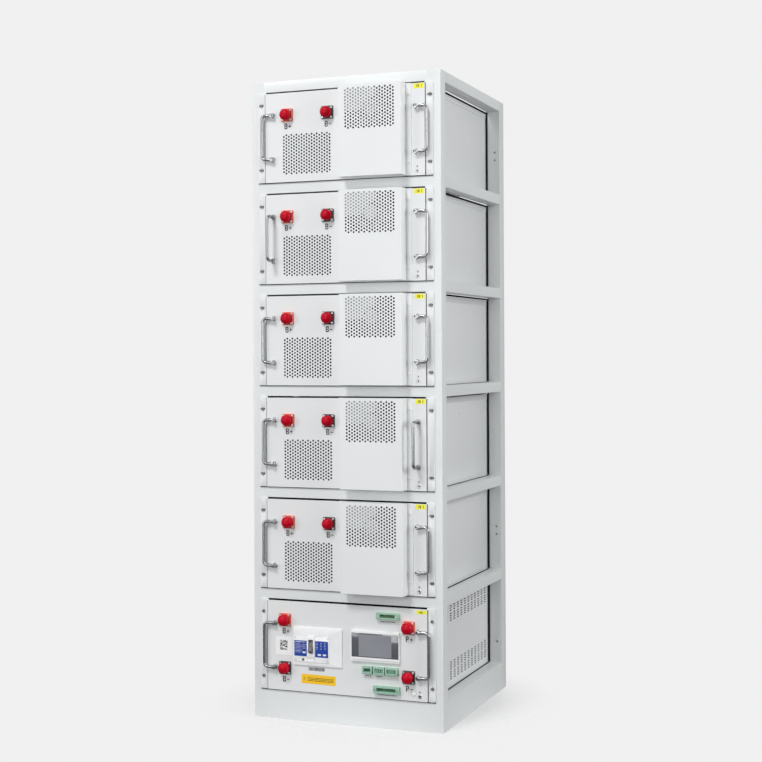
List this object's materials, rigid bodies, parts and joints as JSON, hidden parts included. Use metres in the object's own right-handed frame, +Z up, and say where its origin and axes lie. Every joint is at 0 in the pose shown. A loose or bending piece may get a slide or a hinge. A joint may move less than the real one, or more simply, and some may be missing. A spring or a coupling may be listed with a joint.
{
  "type": "rack-mounted battery pack",
  "caption": "Tall open steel rack holding rack-mounted battery modules with folding handles, perforated fan covers and capped power terminals, above a control module with breaker and display.",
  "frame": {"origin": "on the floor, at the centre of the rack's footprint, which is the centre of its four floor anchor holes", "axes": "+X to the right seen from the front, +Y from the front to the back, +Z up"},
  "size_m": [0.52, 0.5949, 1.653],
  "materials": {
    "rack_paint": "fine-textured light grey powder coat",
    "case_paint": "satin light grey powder coat",
    "panel_paint": "satin light grey powder coat",
    "cells": "blue film over aluminium cell cans",
    "fan_plastic": "black moulded plastic",
    "handle_chrome": "polished chrome",
    "cap_plastic": "glossy crimson moulded plastic",
    "electronics": "mixed internal electrical parts",
    "display_plastic": "off-white moulded bezel with a dark screen",
    "connector_plastic": "pale green moulded plastic",
    "breaker_plastic": "off-white moulded plastic",
    "toggle_plastic": "grey moulded plastic",
    "button_plastic": "black moulded plastic"
  },
  "bodies": {
    "rack": {"rack_frame": "rack_paint"},
    "module_1": {"module_1_case": "case_paint", "module_1_front_panel": "panel_paint", "module_1_cover": "panel_paint", "module_1_cell_pack": "cells"},
    "module_1_handle_left": {"module_1_handle_left": "handle_chrome"},
    "module_1_handle_right": {"module_1_handle_right": "handle_chrome"},
    "module_1_cap_positive": {"module_1_cap_positive": "cap_plastic"},
    "module_1_cap_negative": {"module_1_cap_negative": "cap_plastic"},
    "module_1_fan_rotor": {"module_1_fan_rotor": "fan_plastic"},
    "module_2": {"module_2_case": "case_paint", "module_2_front_panel": "panel_paint", "module_2_cover": "panel_paint", "module_2_cell_pack": "cells"},
    "module_2_handle_left": {"module_2_handle_left": "handle_chrome"},
    "module_2_handle_right": {"module_2_handle_right": "handle_chrome"},
    "module_2_cap_positive": {"module_2_cap_positive": "cap_plastic"},
    "module_2_cap_negative": {"module_2_cap_negative": "cap_plastic"},
    "module_2_fan_rotor": {"module_2_fan_rotor": "fan_plastic"},
    "module_3": {"module_3_case": "case_paint", "module_3_front_panel": "panel_paint", "module_3_cover": "panel_paint", "module_3_cell_pack": "cells"},
    "module_3_handle_left": {"module_3_handle_left": "handle_chrome"},
    "module_3_handle_right": {"module_3_handle_right": "handle_chrome"},
    "module_3_cap_positive": {"module_3_cap_positive": "cap_plastic"},
    "module_3_cap_negative": {"module_3_cap_negative": "cap_plastic"},
    "module_3_fan_rotor": {"module_3_fan_rotor": "fan_plastic"},
    "module_4": {"module_4_case": "case_paint", "module_4_front_panel": "panel_paint", "module_4_cover": "panel_paint", "module_4_cell_pack": "cells"},
    "module_4_handle_left": {"module_4_handle_left": "handle_chrome"},
    "module_4_handle_right": {"module_4_handle_right": "handle_chrome"},
    "module_4_cap_positive": {"module_4_cap_positive": "cap_plastic"},
    "module_4_cap_negative": {"module_4_cap_negative": "cap_plastic"},
    "module_4_fan_rotor": {"module_4_fan_rotor": "fan_plastic"},
    "module_5": {"module_5_case": "case_paint", "module_5_front_panel": "panel_paint", "module_5_cover": "panel_paint", "module_5_cell_pack": "cells"},
    "module_5_handle_left": {"module_5_handle_left": "handle_chrome"},
    "module_5_handle_right": {"module_5_handle_right": "handle_chrome"},
    "module_5_cap_positive": {"module_5_cap_positive": "cap_plastic"},
    "module_5_cap_negative": {"module_5_cap_negative": "cap_plastic"},
    "module_5_fan_rotor": {"module_5_fan_rotor": "fan_plastic"},
    "control_module": {"control_case": "case_paint", "control_front_panel": "panel_paint", "control_electronics": "electronics", "control_display": "display_plastic", "signal_connectors": "connector_plastic", "circuit_breaker": "breaker_plastic"},
    "control_handle_left": {"control_handle_left": "handle_chrome"},
    "control_handle_right": {"control_handle_right": "handle_chrome"},
    "control_cap_b_positive": {"control_cap_b_positive": "cap_plastic"},
    "control_cap_b_negative": {"control_cap_b_negative": "cap_plastic"},
    "control_cap_p_positive": {"control_cap_p_positive": "cap_plastic"},
    "control_cap_p_negative": {"control_cap_p_negative": "cap_plastic"},
    "breaker_toggle": {"breaker_toggle": "toggle_plastic"},
    "breaker_trip_button": {"breaker_trip_button": "button_plastic"}
  },
  "joints": [
    {"name": "control_module_slide", "type": "slide", "parent": "rack", "child": "control_module", "axis": [0, -1, 0], "range_m": [0, 0.45]},
    {"name": "control_handle_left_fold", "type": "hinge", "parent": "control_module", "child": "control_handle_left", "pos_m": [-0.198, -0.2879, 0.192], "axis": [0, 0, 1], "range_deg": [0, 90]},
    {"name": "control_cap_b_positive_pull", "type": "slide", "parent": "control_module", "child": "control_cap_b_positive", "axis": [0, -1, 0], "range_m": [0, 0.03]},
    {"name": "breaker_toggle_throw", "type": "hinge", "parent": "control_module", "child": "breaker_toggle", "pos_m": [-0.096, -0.2614, 0.1935], "axis": [-1, 0, 0], "range_deg": [0, 32]},
    {"name": "breaker_trip_press", "type": "slide", "parent": "control_module", "child": "breaker_trip_button", "axis": [0, 1, 0], "range_m": [0, 0.0015], "stiffness_N_per_m": 400},
    {"name": "module_2_slide", "type": "slide", "parent": "rack", "child": "module_2", "axis": [0, -1, 0], "range_m": [0, 0.45]},
    {"name": "module_2_handle_left_fold", "type": "hinge", "parent": "module_2", "child": "module_2_handle_left", "pos_m": [-0.198, -0.2879, 1.244], "axis": [0, 0, 1], "range_deg": [-90, 0]},
    {"name": "module_2_cap_positive_pull", "type": "slide", "parent": "module_2", "child": "module_2_cap_positive", "axis": [0, -1, 0], "range_m": [0, 0.03]},
    {"name": "module_2_fan_spin", "type": "hinge", "parent": "module_2", "child": "module_2_fan_rotor", "pos_m": [0.084, -0.2994, 1.301], "axis": [0, 1, 0], "continuous": true},
    {"name": "control_handle_right_fold", "type": "hinge", "parent": "control_module", "child": "control_handle_right", "pos_m": [0.198, -0.2879, 0.192], "axis": [0, 0, -1], "range_deg": [0, 90]},
    {"name": "control_cap_b_negative_pull", "type": "slide", "parent": "control_module", "child": "control_cap_b_negative", "axis": [0, -1, 0], "range_m": [0, 0.03]},
    {"name": "control_cap_p_positive_pull", "type": "slide", "parent": "control_module", "child": "control_cap_p_positive", "axis": [0, -1, 0], "range_m": [0, 0.03]},
    {"name": "control_cap_p_negative_pull", "type": "slide", "parent": "control_module", "child": "control_cap_p_negative", "axis": [0, -1, 0], "range_m": [0, 0.03]},
    {"name": "module_2_handle_right_fold", "type": "hinge", "parent": "module_2", "child": "module_2_handle_right", "pos_m": [0.198, -0.2879, 1.244], "axis": [0, 0, -1], "range_deg": [0, 90]},
    {"name": "module_2_cap_negative_pull", "type": "slide", "parent": "module_2", "child": "module_2_cap_negative", "axis": [0, -1, 0], "range_m": [0, 0.03]},
    {"name": "module_4_slide", "type": "slide", "parent": "rack", "child": "module_4", "axis": [0, -1, 0], "range_m": [0, 0.45]},
    {"name": "module_4_handle_left_fold", "type": "hinge", "parent": "module_4", "child": "module_4_handle_left", "pos_m": [-0.198, -0.2879, 0.718], "axis": [0, 0, 1], "range_deg": [0, 90]},
    {"name": "module_4_handle_right_fold", "type": "hinge", "parent": "module_4", "child": "module_4_handle_right", "pos_m": [0.198, -0.2879, 0.718], "axis": [0, 0, -1], "range_deg": [-90, 0]},
    {"name": "module_4_cap_positive_pull", "type": "slide", "parent": "module_4", "child": "module_4_cap_positive", "axis": [0, -1, 0], "range_m": [0, 0.03]},
    {"name": "module_4_cap_negative_pull", "type": "slide", "parent": "module_4", "child": "module_4_cap_negative", "axis": [0, -1, 0], "range_m": [0, 0.03]},
    {"name": "module_4_fan_spin", "type": "hinge", "parent": "module_4", "child": "module_4_fan_rotor", "pos_m": [0.084, -0.2994, 0.775], "axis": [0, 1, 0], "continuous": true},
    {"name": "module_1_slide", "type": "slide", "parent": "rack", "child": "module_1", "axis": [0, -1, 0], "range_m": [0, 0.45]},
    {"name": "module_1_handle_left_fold", "type": "hinge", "parent": "module_1", "child": "module_1_handle_left", "pos_m": [-0.198, -0.2879, 1.507], "axis": [0, 0, 1], "range_deg": [0, 90]},
    {"name": "module_1_handle_right_fold", "type": "hinge", "parent": "module_1", "child": "module_1_handle_right", "pos_m": [0.198, -0.2879, 1.507], "axis": [0, 0, -1], "range_deg": [0, 90]},
    {"name": "module_1_cap_positive_pull", "type": "slide", "parent": "module_1", "child": "module_1_cap_positive", "axis": [0, -1, 0], "range_m": [0, 0.03]},
    {"name": "module_1_cap_negative_pull", "type": "slide", "parent": "module_1", "child": "module_1_cap_negative", "axis": [0, -1, 0], "range_m": [0, 0.03]},
    {"name": "module_1_fan_spin", "type": "hinge", "parent": "module_1", "child": "module_1_fan_rotor", "pos_m": [0.084, -0.2994, 1.564], "axis": [0, 1, 0], "continuous": true},
    {"name": "module_3_slide", "type": "slide", "parent": "rack", "child": "module_3", "axis": [0, -1, 0], "range_m": [0, 0.45]},
    {"name": "module_3_handle_left_fold", "type": "hinge", "parent": "module_3", "child": "module_3_handle_left", "pos_m": [-0.198, -0.2879, 0.981], "axis": [0, 0, 1], "range_deg": [0, 90]},
    {"name": "module_3_handle_right_fold", "type": "hinge", "parent": "module_3", "child": "module_3_handle_right", "pos_m": [0.198, -0.2879, 0.981], "axis": [0, 0, -1], "range_deg": [0, 90]},
    {"name": "module_3_cap_positive_pull", "type": "slide", "parent": "module_3", "child": "module_3_cap_positive", "axis": [0, -1, 0], "range_m": [0, 0.03]},
    {"name": "module_3_cap_negative_pull", "type": "slide", "parent": "module_3", "child": "module_3_cap_negative", "axis": [0, -1, 0], "range_m": [0, 0.03]},
    {"name": "module_3_fan_spin", "type": "hinge", "parent": "module_3", "child": "module_3_fan_rotor", "pos_m": [0.084, -0.2994, 1.038], "axis": [0, 1, 0], "continuous": true},
    {"name": "module_5_slide", "type": "slide", "parent": "rack", "child": "module_5", "axis": [0, -1, 0], "range_m": [0, 0.45]},
    {"name": "module_5_handle_left_fold", "type": "hinge", "parent": "module_5", "child": "module_5_handle_left", "pos_m": [-0.198, -0.2879, 0.455], "axis": [0, 0, 1], "range_deg": [0, 90]},
    {"name": "module_5_handle_right_fold", "type": "hinge", "parent": "module_5", "child": "module_5_handle_right", "pos_m": [0.198, -0.2879, 0.455], "axis": [0, 0, -1], "range_deg": [0, 90]},
    {"name": "module_5_cap_positive_pull", "type": "slide", "parent": "module_5", "child": "module_5_cap_positive", "axis": [0, -1, 0], "range_m": [0, 0.03]},
    {"name": "module_5_cap_negative_pull", "type": "slide", "parent": "module_5", "child": "module_5_cap_negative", "axis": [0, -1, 0], "range_m": [0, 0.03]},
    {"name": "module_5_fan_spin", "type": "hinge", "parent": "module_5", "child": "module_5_fan_rotor", "pos_m": [0.084, -0.2994, 0.512], "axis": [0, 1, 0], "continuous": true}
  ]
}
